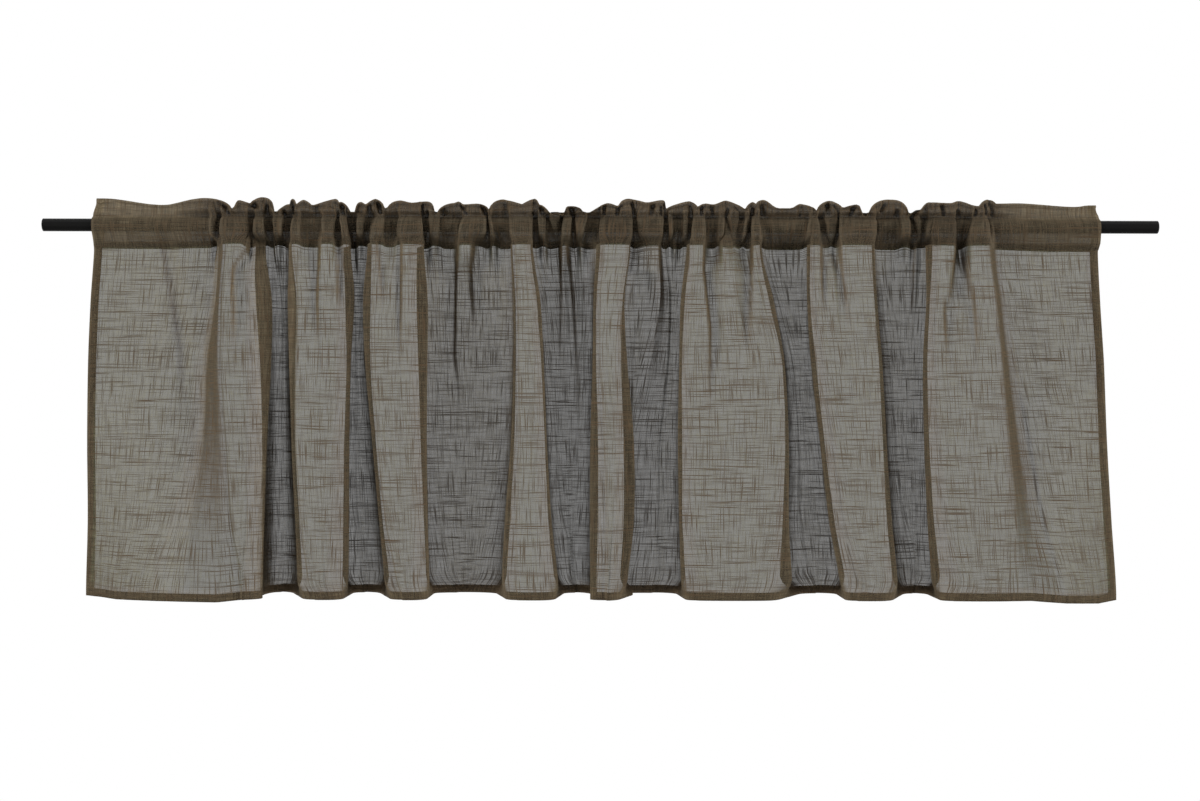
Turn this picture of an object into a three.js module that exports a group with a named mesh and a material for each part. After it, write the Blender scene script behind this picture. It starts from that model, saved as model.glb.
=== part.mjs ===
// A short sheer valance gathered on a round curtain rod.
// Millimetres, +Z up, X along the rod, the front towards -Y, origin on the rod's axis at its middle.
import * as THREE from 'three';

// ---- Driving sizes -------------------------------------------------------------------------------------

const rod = { radius: 8, length: 1392, sides: 40 };

const cloth = {
  thickness: 1.5,      // of one layer
  drop: 463,           // rod's axis to the hem's lower edge
  seat: 0.3,           // rod's top to the pocket resting on it
  clearance: 2.2,      // rod's front and back to the pocket
  lowerSeam: -27,      // the stitching that closes the pocket under the rod
  shoulder: 5.5,       // half the width of the pocket's flat top, where it lies on the rod
  stitching: 6,        // how far up the two layers are closed together above the lower seam
  upperSeam: 11.5,     // the stitching above the rod, where the ruffle starts
  ruffle: 23.5,        // how far the ruffle stands above the upper seam
  corner: 7,           // how far from a fold's edge its turn begins
  bulge: 4,            // how far a panel bows out between its two folds
};

// Heights at which each fold's place is given, and how far its front and back edges stand from the rod's
// plane there. The folds open out as the cloth falls away from the gathers.
const levels = {
  z: [-30, -92, -168, -268, -368, -455],
  front: [18, 26, 32, 36, 38, 38],
  back: [12, 24, 30, 34, 36, 38],
};

// The two side edges of the cloth, at those heights.
const sideEdges = {
  left: [-633, -637, -640, -641, -640, -642],
  right: [622, 625, 630, 634, 640, 646],
};

// The main folds, from left to right, one row each. A fold is a wall of cloth that runs between a front
// panel and a back one: `front` and `back` are where its two edges are at each height, and `goes` says which
// way the wall runs when the cloth is followed from left to right. `frontShare` and `backShare` scale the
// depths of levels for a soft fold. A rolled fold also has `tuck`, the edge where its cloth turns under.
const folds = [
  { goes: 'forward', back: [-478, -482, -493, -498, -512, -524], front: [-468, -471, -471, -465, -459, -449],
    backShare: [0.2, 0.2, 0.1, -0.15, -0.55, -0.85] },
  { goes: 'back', front: [-416, -406, -405, -409, -412, -414], tuck: [-434, -434, -429, -425, -424, -424],
    back: [-410, -410, -411, -413, -415, -416] },
  { goes: 'forward', back: [-391, -397, -395, -391, -387, -386], front: [-380, -374, -374, -373, -367, -362] },
  { goes: 'back', front: [-317, -313, -311, -314, -315, -316], back: [-312, -311, -317, -318, -318, -318] },
  { goes: 'forward', back: [-294, -300, -298, -289, -281, -275], front: [-282, -283, -282, -274, -265, -255] },
  { goes: 'back', front: [-227, -226, -223, -220, -216, -213], back: [-221, -219, -219, -219, -218, -215] },
  { goes: 'forward', back: [-113, -110, -110, -114, -123, -127], front: [-108, -104, -103, -104, -108, -113] },
  { goes: 'back', front: [-87, -79, -73, -68, -64, -56], back: [-84, -75, -71, -67, -60, -50] },
  { goes: 'forward', back: [-12, -8, -8, -10, -12, -14], tuck: [2, -4, -4, -3, -4, -6],
    front: [-7, -9, -10, -14, -15, -15] },
  { goes: 'back', front: [35, 27, 26, 30, 32, 26], back: [38, 31, 31, 39, 40, 31], backShare: [0, 0, 0, 0, 0, 0] },
  { goes: 'back', front: [74, 76, 65, 45, 44, 35], back: [78, 81, 70, 50, 48, 38], frontShare: [0, 0, 0, 0, 0, 0] },
  { goes: 'forward', back: [107, 101, 100, 98, 100, 102], front: [111, 105, 101, 102, 102, 107] },
  { goes: 'back', front: [196, 207, 223, 226, 222, 216], back: [202, 220, 234, 241, 243, 252] },
  { goes: 'forward', back: [258, 261, 268, 278, 289, 307], front: [260, 259, 266, 276, 290, 302] },
  { goes: 'back', front: [334, 337, 342, 346, 350, 358], back: [345, 350, 357, 364, 373, 382] },
  { goes: 'forward', back: [407, 412, 409, 409, 416, 423], front: [411, 406, 401, 401, 410, 421] },
  { goes: 'back', front: [484, 490, 496, 503, 510, 514], back: [493, 501, 510, 522, 534, 547],
    backShare: [0.2, 0.2, 0.1, -0.15, -0.55, -0.85] },
];

// The smaller pleats of the heading, which run out in the body. Each is a strip between `from` and `to` at
// the seam, pushed towards the front (negative) or the back, and it dies away over `run` below the seam.
const pleats = [
  { from: -408, to: -398, push: -18, run: 35 },
  { from: -375, to: -350, push: 14, run: 90 },
  { from: -332, to: -325, push: 12, run: 70 },
  { from: -307, to: -298, push: -14, run: 40 },
  { from: -270, to: -255, push: 15, run: 80 },
  { from: -214, to: -203, push: -20, run: 45 },
  { from: -180, to: -152, push: -24, run: 220 },
  { from: -138, to: -129, push: -20, run: 45 },
  { from: -75, to: -66, push: -18, run: 45 },
  { from: -50, to: -34, push: -22, run: 190 },
  { from: -27, to: -18, push: -20, run: 50 },
  { from: 90, to: 97, push: -18, run: 40 },
  { from: 134, to: 149, push: 18, run: 160 },
  { from: 158, to: 188, push: 18, run: 160 },
  { from: 279, to: 296, push: 15, run: 100 },
  { from: 380, to: 390, push: -20, run: 60 },
  { from: 446, to: 458, push: 20, run: 140 },
];

// Where the ruffle's top edge dips, over `half` to each side of `at`. Between dips it stands at full height.
const dips = [
  { at: -545, half: 50, drop: 7 }, { at: -454, half: 14, drop: 14 }, { at: -406, half: 12, drop: 18 },
  { at: -307, half: 16, drop: 15 }, { at: -267, half: 10, drop: 8 }, { at: -206, half: 11, drop: 19 },
  { at: -137, half: 9, drop: 11 }, { at: -56, half: 19, drop: 17 }, { at: -15, half: 14, drop: 14 },
  { at: 25, half: 11, drop: 10 }, { at: 82, half: 8, drop: 10 }, { at: 123, half: 10, drop: 9 },
  { at: 182, half: 10, drop: 10 }, { at: 228, half: 18, drop: 9 }, { at: 269, half: 10, drop: 12 },
  { at: 327, half: 11, drop: 18 }, { at: 385, half: 10, drop: 17 }, { at: 471, half: 11, drop: 8 },
  { at: 560, half: 60, drop: 4 },
];

// Rows of the body below the pocket, and of the pocket's two layers, as heights.
const bodyRows = [-cloth.drop, -370, -285, -205, -145, -100, -66, -43];
const pocketRows = [-14, 1];

// ---- Curves --------------------------------------------------------------------------------------------

function smoothStep(t) {
  const c = THREE.MathUtils.clamp(t, 0, 1);
  return c * c * (3 - 2 * c);
}

// A value given at each of levels.z, read at any height.
function atHeight(values, z) {
  const heights = levels.z;
  if (z >= heights[0]) return values[0];
  const last = heights.length - 1;
  if (z <= heights[last]) return values[last];
  let i = 0;
  while (z < heights[i + 1]) i += 1;
  const t = (heights[i] - z) / (heights[i] - heights[i + 1]);
  const before = values[Math.max(i - 1, 0)];
  const after = values[Math.min(i + 2, last)];
  const slopeIn = (values[i + 1] - before) / 2;
  const slopeOut = (after - values[i]) / 2;
  const [a, b] = [values[i], values[i + 1]];
  return a + slopeIn * t + (3 * (b - a) - 2 * slopeIn - slopeOut) * t * t
    + (slopeIn + slopeOut - 2 * (b - a)) * t * t * t;
}

// The corners of the cloth's plan at a height: its side edges and both edges of every fold.
function corners(z) {
  const frontDepth = atHeight(levels.front, z);
  const backDepth = atHeight(levels.back, z);
  const opened = smoothStep((levels.z[0] - z) / 30);
  const list = [{ x: atHeight(sideEdges.left, z), y: 0 }];
  for (const fold of folds) {
    const front = { x: atHeight(fold.front, z), y: -frontDepth };
    const back = { x: atHeight(fold.back, z), y: backDepth };
    if (fold.frontShare) front.y *= atHeight(fold.frontShare, z);
    if (fold.backShare) back.y *= atHeight(fold.backShare, z);
    const wall = [front];
    if (fold.tuck) {
      const under = THREE.MathUtils.lerp((front.x + back.x) / 2, atHeight(fold.tuck, z), opened);
      wall.push({ x: under, y: (front.y + back.y) / 2 });
    }
    wall.push(back);
    list.push(...(fold.goes === 'back' ? wall : wall.reverse()));
  }
  list.push({ x: atHeight(sideEdges.right, z), y: 0 });
  return list;
}

// How far the heading's small pleats move the cloth at a place and height.
function pleatPush(x, z) {
  let push = 0;
  for (const pleat of pleats) {
    const fade = 1 - smoothStep((cloth.lowerSeam - z) / pleat.run);
    const half = (pleat.to - pleat.from) / 2;
    const away = Math.abs(x - (pleat.from + pleat.to) / 2);
    push += pleat.push * fade * (1 - smoothStep((away - half * 0.4) / (half * 0.9)));
  }
  return push;
}

// ---- The cloth's columns -------------------------------------------------------------------------------

// How much of a stretch is taken by the turn around each of its corners.
function turnShare(a, b) {
  const length = Math.hypot(b.x - a.x, b.y - a.y);
  return Math.min(cloth.corner, length * 0.3) / length;
}

// A column is a line down the cloth. It lies on one stretch between two corners, at a share of the way
// between their turns: 0 and 1 are where the turns end and begin.
function columnList() {
  const top = corners(levels.z[0]);
  const columns = [];
  for (let i = 0; i + 1 < top.length; i += 1) {
    const [a, b] = [top[i], top[i + 1]];
    if (i === 0) columns.push({ stretch: i, edge: 0 });
    columns.push({ stretch: i, share: 0 });
    if (isPanel(i)) {
      const turn = turnShare(a, b);
      const shareOf = (x) => ((x - a.x) / (b.x - a.x) - turn) / (1 - 2 * turn);
      const least = 2.5 / ((b.x - a.x) * (1 - 2 * turn));
      const marks = pleats.flatMap(pleatPlaces).map(shareOf).filter((q) => q > least && q < 1 - least);
      const fill = b.x - a.x > 100 ? [1 / 4, 2 / 4, 3 / 4] : [1 / 2];
      marks.push(...fill.filter((q) => marks.every((mark) => Math.abs(mark - q) > 4 * least)));
      for (const share of marks.sort((p, q) => p - q)) columns.push({ stretch: i, share });
    }
    columns.push({ stretch: i, share: 1 });
  }
  columns.push({ stretch: top.length - 2, edge: 1 });
  return columns;
}

// Where a pleat needs columns: at its two edges and its crown, or at both sides of each edge if it is wide.
function pleatPlaces({ from, to }) {
  if (to - from > 20) return [from - 4, from + 4, to - 4, to + 4];
  return [from - 2, (from + to) / 2, to + 2];
}

// Panels lie between folds, and walls within them.
function isPanel(stretch) {
  let first = 0;
  for (const fold of folds) {
    if (stretch === first) return true;
    first += fold.tuck ? 3 : 2;
    if (stretch < first) return false;
  }
  return true;
}

// The cloth's middle surface at a height: one point for each column, as x and y.
function planAt(columns, z) {
  const list = corners(z);
  return columns.map(({ stretch, share, edge }) => {
    const [a, b] = [list[stretch], list[stretch + 1]];
    const turn = turnShare(a, b);
    const along = edge ?? turn + share * (1 - 2 * turn);
    const point = { x: THREE.MathUtils.lerp(a.x, b.x, along), y: THREE.MathUtils.lerp(a.y, b.y, along) };
    if (isPanel(stretch)) {
      const side = Math.sign(a.y + b.y);
      point.y += side * cloth.bulge * 4 * along * (1 - along) + pleatPush(point.x, z);
    }
    return point;
  });
}

// The way the cloth faces at each point of a plan, towards the front, and longer where it turns sharply so
// that the layer keeps its thickness.
function facing(plan) {
  return plan.map((point, i) => {
    const before = plan[Math.max(i - 1, 0)];
    const after = plan[Math.min(i + 1, plan.length - 1)];
    const inward = new THREE.Vector2(point.x - before.x, point.y - before.y).normalize();
    const onward = new THREE.Vector2(after.x - point.x, after.y - point.y).normalize();
    if (i === 0) inward.copy(onward);
    if (i === plan.length - 1) onward.copy(inward);
    const along = inward.clone().add(onward).normalize();
    const stretch = Math.min(1 / Math.max(along.dot(inward), 0.1), 1.35);
    return { x: along.y * stretch, y: -along.x * stretch };
  });
}

// One row of vertices: a plan moved forward by `offset`, at the heights given for each column.
function row(plan, offset, heights) {
  const ways = facing(plan);
  return plan.map((point, i) => new THREE.Vector3(
    point.x + ways[i].x * offset,
    point.y + ways[i].y * offset,
    typeof heights === 'number' ? heights : heights[i],
  ));
}

// ---- The cloth -----------------------------------------------------------------------------------------

// The cloth's rows of vertices: its front and back skins from the hem up to the ruffle's top, and the lining
// of the pocket from its lowest line up each side.
function skins(columns) {
  const half = cloth.thickness / 2;
  const seam = planAt(columns, cloth.lowerSeam);
  const reach = rod.radius + cloth.clearance + half;
  const apex = rod.radius + cloth.seat;
  const layer = (side) => seam.map(({ x, y }) => ({ x, y: side * Math.max(reach, side * y + 4) }));
  const level = (y) => seam.map(({ x }) => ({ x, y }));
  const waves = (share, most) => seam.map(
    ({ x, y }) => ({ x, y: THREE.MathUtils.clamp(y * share, -most, most) }));
  const top = seam.map(({ x }) => cloth.upperSeam + cloth.ruffle - dips.reduce(
    (sum, dip) => sum + dip.drop * (1 - smoothStep(Math.abs(x - dip.at) / dip.half)), 0));
  const middle = top.map((z) => (z + cloth.upperSeam) / 2);

  const side = (way) => [
    ...bodyRows.map((z) => row(planAt(columns, z), -way * half, z)),
    row(seam, -way * half, cloth.lowerSeam),
    ...pocketRows.map((z) => row(layer(way), -way * half, z)),
    row(level(way * cloth.shoulder), 0, apex + cloth.thickness),
    row(waves(0.4, 6), -way * cloth.thickness, cloth.upperSeam),
    row(waves(0.6, 10), -way * cloth.thickness, middle),
    row(waves(0.8, 14), -way * cloth.thickness, top),
  ];
  const bottom = cloth.lowerSeam + cloth.stitching;
  const rise = cloth.stitching / (pocketRows[0] - cloth.lowerSeam);
  const lowest = seam.map(({ x, y }, i) => ({
    x, y: THREE.MathUtils.lerp(y, (layer(-1)[i].y + layer(1)[i].y) / 2, rise) }));
  const lining = (way) => [
    row(lowest, 0, bottom),
    ...pocketRows.map((z) => row(layer(way), way * half, z)),
    row(level(way * (cloth.shoulder - 1)), 0, apex),
  ];
  return { front: side(-1), back: side(1), frontLining: lining(-1), backLining: lining(1) };
}

// A closed mesh of the skins. Every strip of faces is split the same way, so that the two sides of a layer
// stay apart where it twists.
function clothGeometry() {
  const { front, back, frontLining, backLining } = skins(columnList());
  const positions = [];
  const numbered = (rows) => rows.map((points) => points.map((v) => positions.push(v.x, v.y, v.z) / 3 - 1));
  const [f, b, fl, bl] = [front, back, frontLining, backLining].map(numbered);
  bl[0] = fl[0];
  const index = [];
  const strip = (lower, upper, facesFront) => {
    for (let i = 0; i + 1 < lower.length; i += 1) {
      const faces = [[lower[i], lower[i + 1], upper[i + 1]], [lower[i], upper[i + 1], upper[i]]];
      for (const face of faces) index.push(...(facesFront ? face : face.reverse()));
    }
  };
  for (let r = 0; r + 1 < f.length; r += 1) {
    strip(f[r], f[r + 1], true);
    strip(b[r], b[r + 1], false);
  }
  for (let r = 0; r + 1 < fl.length; r += 1) {
    strip(fl[r], fl[r + 1], false);
    strip(bl[r], bl[r + 1], true);
  }
  strip(f.at(-1), b.at(-1), true);
  strip(f[0], b[0], false);
  strip(fl.at(-1), bl.at(-1), false);

  // The two side edges: across the body, around the pocket, and across the ruffle.
  const seamRow = bodyRows.length;
  const shoulderRow = seamRow + fl.length - 1;
  for (const column of [0, f[0].length - 1]) {
    const across = (p, q, r, s) => {
      const faces = s === undefined ? [[p, q, r]] : [[p, q, r], [p, r, s]];
      for (const face of faces) index.push(...(column === 0 ? face : face.reverse()));
    };
    const at = (rows, r) => rows[r][column];
    for (let r = 0; r + 1 < f.length; r += 1) {
      if (r < seamRow || r >= shoulderRow) across(at(f, r), at(f, r + 1), at(b, r + 1), at(b, r));
    }
    across(at(f, seamRow), at(fl, 0), at(b, seamRow));
    for (let r = 0; r + 1 < fl.length; r += 1) {
      const outer = seamRow + r;
      across(at(f, outer), at(f, outer + 1), at(fl, r + 1), at(fl, r));
      across(at(bl, r), at(bl, r + 1), at(b, outer + 1), at(b, outer));
    }
    across(at(fl, fl.length - 1), at(f, shoulderRow), at(b, shoulderRow), at(bl, bl.length - 1));
  }
  const geometry = new THREE.BufferGeometry();
  geometry.setAttribute('position', new THREE.Float32BufferAttribute(positions, 3));
  geometry.setIndex(index);
  geometry.computeVertexNormals();
  return geometry;
}

const clothMesh = new THREE.Mesh(clothGeometry(),
  new THREE.MeshStandardMaterial({ color: 0x5c5344, roughness: 0.9, metalness: 0 }));
clothMesh.name = 'valance_cloth';

// ---- The rod -------------------------------------------------------------------------------------------

const rodMesh = new THREE.Mesh(new THREE.CylinderGeometry(rod.radius, rod.radius, rod.length, rod.sides),
  new THREE.MeshStandardMaterial({ color: 0x1c1c1c, roughness: 0.45, metalness: 0.3 }));
rodMesh.name = 'rod';
rodMesh.rotation.z = Math.PI / 2;

const valance = new THREE.Group();
valance.add(clothMesh, rodMesh);
export default valance;
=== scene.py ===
import math

import bpy
import numpy as np
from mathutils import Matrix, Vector


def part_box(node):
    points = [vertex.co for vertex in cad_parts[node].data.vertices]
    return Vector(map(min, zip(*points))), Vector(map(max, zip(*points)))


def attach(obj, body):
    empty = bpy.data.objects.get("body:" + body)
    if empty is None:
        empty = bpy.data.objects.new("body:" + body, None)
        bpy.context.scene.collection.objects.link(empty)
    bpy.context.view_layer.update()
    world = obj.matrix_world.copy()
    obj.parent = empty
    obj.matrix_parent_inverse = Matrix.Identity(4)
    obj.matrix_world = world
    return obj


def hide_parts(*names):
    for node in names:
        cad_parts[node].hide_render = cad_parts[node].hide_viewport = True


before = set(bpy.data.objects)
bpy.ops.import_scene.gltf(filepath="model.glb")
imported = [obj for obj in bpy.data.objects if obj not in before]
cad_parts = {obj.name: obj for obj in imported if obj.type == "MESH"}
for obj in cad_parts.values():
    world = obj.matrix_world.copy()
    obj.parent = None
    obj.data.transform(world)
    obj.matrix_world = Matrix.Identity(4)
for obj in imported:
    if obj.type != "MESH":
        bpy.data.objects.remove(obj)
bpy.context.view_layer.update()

# ---- The valance's body --------------------------------------------------------------------------------
# One piece of sheer slub voile, 2.2 m wide, makes the whole valance, and hangs gathered to 1.28 m from its
# heading. Its folds are walls of cloth between front and back panels, and its hems, 10 mm wide, are turned
# to the back and stitched.

# Heights are measured from the rod's middle, and each fold is given by where its two edges stand at six
# heights. The valance is looked at from view_distance, and a rolled fold's wall keeps its width seen from
# there. Such folds are open at the hem, and have closed opens_over higher up.
mm = 0.001
rod_low, rod_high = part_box("rod")
rod_radius = (rod_high.z - rod_low.z) / 2
cloth_low, cloth_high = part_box("valance_cloth")
hem_edge = cloth_low.z
lower_seam = -27 * mm
upper_seam = 11.5 * mm

view_distance = 2.0
heights = mm * np.array([-30, -92, -168, -268, -368, -455])
front_depth = mm * np.array([18, 26, 32, 36, 38, 38])
back_depth = mm * np.array([5, 21, 30, 34, 36, 38])
left_edge = [-633, -637, -640, -641, -640, -642]
right_edge = [622, 625, 630, 634, 640, 646]
widest_roll = 12 * mm
open_up_to, opens_over = 2 * mm, 22 * mm

# One row for each fold, left to right: the places of its wall's front and back edges, in mm across. goes
# says which way the wall runs. back_share and front_share scale the depths of a soft fold. A rolled fold
# opens only near the hem, where its back edge fans out by fans. tuck is where its cloth turns under, and
# lip how full the roll is. paler and panel scale the tone of its wall and of the panel after it: they
# paint light and shade onto them.
folds = [
    dict(goes="forward",
         back=[-478, -482, -493, -498, -512, -524], front=[-468, -471, -471, -465, -459, -449],
         back_share=[0.2, 0.2, 0.1, -0.15, -0.55, -0.85], rolled=False, fans=[0] * 6, paler=0.8),
    dict(goes="back",
         front=[-416, -406, -405, -409, -412, -414], back=[-410, -410, -411, -413, -415, -416],
         tuck=[-434, -434, -429, -425, -424, -424], lip=1.1, paler=1.45),
    dict(goes="forward",
         back=[-392, -399, -397, -391, -387, -386], front=[-380, -372, -373, -373, -367, -362],
         lip=1.1, paler=1.28),
    dict(goes="back",
         front=[-319, -316, -312, -314, -315, -316], back=[-312, -310, -316, -318, -318, -318]),
    dict(goes="forward",
         back=[-294, -302, -300, -290, -281, -275], front=[-281, -281, -281, -274, -265, -255]),
    dict(goes="back",
         front=[-228, -228, -225, -221, -216, -213], back=[-220, -217, -218, -219, -218, -215]),
    dict(goes="forward",
         back=[-113, -110, -110, -114, -123, -127], front=[-108, -104, -103, -104, -108, -113]),
    dict(goes="back",
         front=[-87, -79, -73, -68, -64, -56], back=[-84, -75, -71, -67, -60, -50], panel=0.5),
    dict(goes="forward", back=[-12, -8, -8, -10, -12, -14], front=[-7, -9, -10, -14, -15, -15],
         tuck=[2, -4, -4, 0, 1, -1]),
    dict(goes="back", front=[35, 27, 24, 26, 26, 22], back=[38, 31, 36, 46, 47, 38], back_share=[0.55] * 6,
         paler=0.8),
    dict(goes="back", front=[72, 74, 62, 43, 42, 33], back=[76, 77, 66, 49, 46, 38],
         back_share=[0.6, 0.5, 0.75, 0.95, 1, 1], front_share=[0.5, 0, -0.45, -0.78, -0.87, -0.92],
         fans=[1, 4, 10, 14, 12, 8], rolled=False),
    dict(goes="forward", back=[107, 101, 100, 98, 100, 102], front=[111, 105, 101, 102, 102, 107],
         lip=0.8),
    dict(goes="back", front=[196, 207, 223, 226, 222, 216], back=[202, 220, 234, 241, 243, 252]),
    dict(goes="forward", back=[258, 261, 267, 279, 291, 306], front=[260, 259, 266, 276, 288, 303]),
    dict(goes="back", front=[334, 337, 342, 346, 350, 358], back=[345, 350, 357, 364, 373, 382]),
    dict(goes="forward", back=[407, 412, 410, 412, 416, 421], front=[411, 406, 402, 404, 410, 420]),
    dict(goes="back", front=[484, 490, 496, 503, 510, 514], back=[493, 501, 510, 522, 534, 547],
         back_share=[0.2, 0.2, 0.1, -0.15, -0.55, -0.85], rolled=False, fans=[0] * 6, paler=0.78),
]

# The heading's smaller pleats: each is a strip of cloth between two places at the seam, pushed to the
# front (negative) or the back, which runs out over `run` below the seam. drift is how far it strays there.
pleats = [
    dict(at=(-484, -479), push=8, run=30, drift=-4),
    dict(at=(-438, -434), push=12, run=20),
    dict(at=(-408, -398), push=-18, run=35),
    dict(at=(-375, -350), push=14, run=40),
    dict(at=(-332, -325), push=12, run=40),
    dict(at=(-307, -298), push=-14, run=40),
    dict(at=(-270, -255), push=15, run=40),
    dict(at=(-214, -203), push=-12, run=30),
    dict(at=(-180, -152), push=-24, run=40),
    dict(at=(-138, -129), push=-13, run=35),
    dict(at=(-75, -66), push=-12, run=32),
    dict(at=(-50, -34), push=-16, run=35),
    dict(at=(-27, -18), push=-12, run=35),
    dict(at=(90, 97), push=-12, run=30),
    dict(at=(134, 149), push=18, run=40),
    dict(at=(158, 188), push=18, run=40),
    dict(at=(279, 296), push=15, run=40),
    dict(at=(380, 390), push=-12, run=35),
    dict(at=(446, 458), push=20, run=40),
]
pleat_fullness = 0.6

# Longer creases run down from the heading: each is a sharp step in the cloth that evens out sideways. line
# holds its places (across, height) from top to end, step its depth (positive to the back), and evens how
# far it takes to even out (positive to the right). crease_width is how wide the sharp step is, and
# tinted_width how far from its line the cloth is painted browner, and paler where it lies back: painted
# light and shade in the crease. A crease holds over the given share of its length, and its tint over
# tint_holds, before they fade out.
creases = [
    dict(line=[(-436, -28), (-445, -41), (-453, -50), (-456, -62), (-453, -93), (-450, -190)],
         step=10, evens=32),
    dict(line=[(-348, -30), (-350, -90), (-348, -118), (-347, -170)], step=9, evens=-20),
    dict(line=[(-326, -30), (-323, -93), (-322, -130)], step=6, evens=9),
    dict(line=[(-277, -30), (-272, -62), (-268, -120)], step=6, evens=14),
    dict(line=[(-247, -30), (-246, -120), (-246, -190)], step=8, evens=-18),
    dict(line=[(-179, -31), (-183, -93), (-185, -168), (-180, -192), (-176, -260)], step=-10, evens=60),
    dict(line=[(-159, -31), (-163, -56), (-162, -81), (-158, -150)], step=11, evens=26),
    dict(line=[(-50, -31), (-50, -143), (-48, -200)], step=-8, evens=16),
    dict(line=[(-41, -31), (-37, -56), (-34, -93), (-30, -155), (-27, -217), (-26, -290)],
         step=6, evens=18),
    dict(line=[(129, -31), (128, -56), (131, -81), (136, -130), (135, -167), (132, -270)],
         step=11, evens=26),
    dict(line=[(188, -31), (186, -81), (184, -130), (184, -190)], step=10, evens=-24),
    dict(line=[(146, -28), (146, -55)], step=5, evens=8),
    dict(line=[(274, -31), (275, -93), (276, -125)], step=6, evens=12),
    dict(line=[(297, -31), (300, -68), (303, -93), (306, -145)], step=6, evens=-16),
    dict(line=[(393, -28), (394, -93), (395, -130)], step=-6, evens=10),
    dict(line=[(442, -31), (436, -68), (432, -87), (425, -99), (425, -115), (428, -210)],
         step=10, evens=36),
    dict(line=[(451, -28), (454, -56), (457, -74), (461, -93), (463, -115), (463, -190)],
         step=8, evens=-30),
    dict(line=[(-548, -31), (-540, -80), (-528, -150), (-520, -260)], step=4, evens=26),
]
crease_width = 6 * mm
tinted_width = 5 * mm
crease_holds, tint_holds = 0.35, 0.5


def smooth_step(t):
    """Rises smoothly from 0 to 1 while t goes from 0 to 1."""
    t = np.clip(t, 0, 1)
    return t * t * (3 - 2 * t)


def at_height(values, z):
    """A value given at each of the six heights, read at the heights z."""
    values = np.asarray(values, float)
    level = np.interp(-z, -heights, np.arange(len(heights)))
    i = np.clip(level.astype(int), 0, len(heights) - 2)
    t = level - i
    a, b = values[i], values[i + 1]
    slope_in = (b - values[np.maximum(i - 1, 0)]) / 2
    slope_out = (values[np.minimum(i + 2, len(heights) - 1)] - a) / 2
    return (a + slope_in * t + (3 * (b - a) - 2 * slope_in - slope_out) * t ** 2
            + (slope_in + slope_out - 2 * (b - a)) * t ** 3)


def corners_at(z):
    """The corners of the cloth's plan at heights z, as an array of rows by corners by (x, y)."""
    front_y, back_y = -at_height(front_depth, z), at_height(back_depth, z)
    closed = smooth_step((z - hem_edge - open_up_to) / opens_over)
    found = [(mm * at_height(left_edge, z), 0 * z)]
    for fold in folds:
        front_x, back_x = mm * at_height(fold["front"], z), mm * at_height(fold["back"], z)
        deep = back_y * at_height(fold.get("back_share", [1] * 6), z)
        near = front_y * at_height(fold.get("front_share", [1] * 6), z)
        outward = 1 if fold["goes"] == "back" else -1
        far_x = back_x + outward * at_height(fold.get("fans", [6] * 6), z) * mm
        slant = [(front_x + (far_x - front_x) * n / 3, near + (deep - near) * n / 3) for n in range(4)]
        if "tuck" in fold:
            tuck_x = mm * at_height(fold["tuck"], z)
            lip = fold.get("lip", 0.6) * np.minimum(np.abs(front_x - tuck_x), widest_roll)
            wall = [(tuck_x, near), (front_x, near + lip), (tuck_x, (near + deep) / 2), (back_x, deep)]
        elif fold.get("rolled", True):
            edge_x = back_x * (view_distance + near) / (view_distance + deep)
            face_x = front_x * view_distance / (view_distance + near)
            lip = fold.get("lip", 0.6) * np.minimum(np.abs(edge_x - face_x), widest_roll)
            wall = [(face_x, near), (edge_x, near + lip), (face_x, (near + deep) / 2),
                    (back_x + (face_x - edge_x) * 0.5, deep)]
            wall = [(s_x + (w_x - s_x) * closed, s_y + (w_y - s_y) * closed)
                    for (s_x, s_y), (w_x, w_y) in zip(slant, wall)]
        else:
            wall = slant
        found += wall if fold["goes"] == "back" else wall[::-1]
    found.append((mm * at_height(right_edge, z), 0 * z))
    return np.stack([np.stack(place, -1) for place in found], 1)


def pleat_push(x, z):
    """How far the small pleats move the cloth, at places x and heights z."""
    moved = 0 * x
    for pleat in pleats:
        low, high = mm * pleat["at"][0], mm * pleat["at"][1]
        fallen = (lower_seam - z) / (mm * pleat["run"])
        middle = (low + high) / 2 + mm * pleat.get("drift", 0) * np.clip(fallen, 0, 1)
        half = (high - low) / 2
        inside = 1 - smooth_step((np.abs(x - middle) - half * 0.2) / (half * 1.3))
        moved += pleat_fullness * mm * pleat["push"] * inside * (1 - smooth_step(fallen))
    return moved


def crease_push(x, z):
    """How far the creases move the cloth."""
    moved = 0 * x
    for crease in creases:
        places = mm * np.array(crease["line"])[::-1]
        aside = (x - np.interp(z, places[:, 1], places[:, 0])) * np.sign(crease["evens"])
        wide = mm * abs(crease["evens"])
        sharp = smooth_step(aside / crease_width + 0.5) * (1 - smooth_step(aside / wide))
        length = places[-1, 1] - places[0, 1]
        fading = 1 - smooth_step(((places[-1, 1] - z) / length - crease_holds) / (1 - crease_holds))
        moved += mm * crease["step"] * sharp * fading
    return moved


def crease_share(x, z):
    """How much of a crease's steep side a place of the cloth holds: 1 in its middle, 0 beyond it."""
    share = 0 * x
    for crease in creases:
        places = mm * np.array(crease["line"])[::-1]
        aside = x - np.interp(z, places[:, 1], places[:, 0])
        length = places[-1, 1] - places[0, 1]
        fading = 1 - smooth_step(((places[-1, 1] - z) / length - tint_holds) / (1 - tint_holds))
        share = np.maximum(share, (1 - smooth_step(np.abs(aside) / tinted_width)) * fading)
    return share


ripple_random = np.random.default_rng(11)
ripple_waves = []
for n in range(14):
    ripple_length = ripple_random.uniform(7, 22) * mm
    ripple_waves.append((ripple_length, ripple_random.uniform(0, 7), ripple_random.uniform(-12, 12)))
ripple_depth = 0.9 * mm


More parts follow.
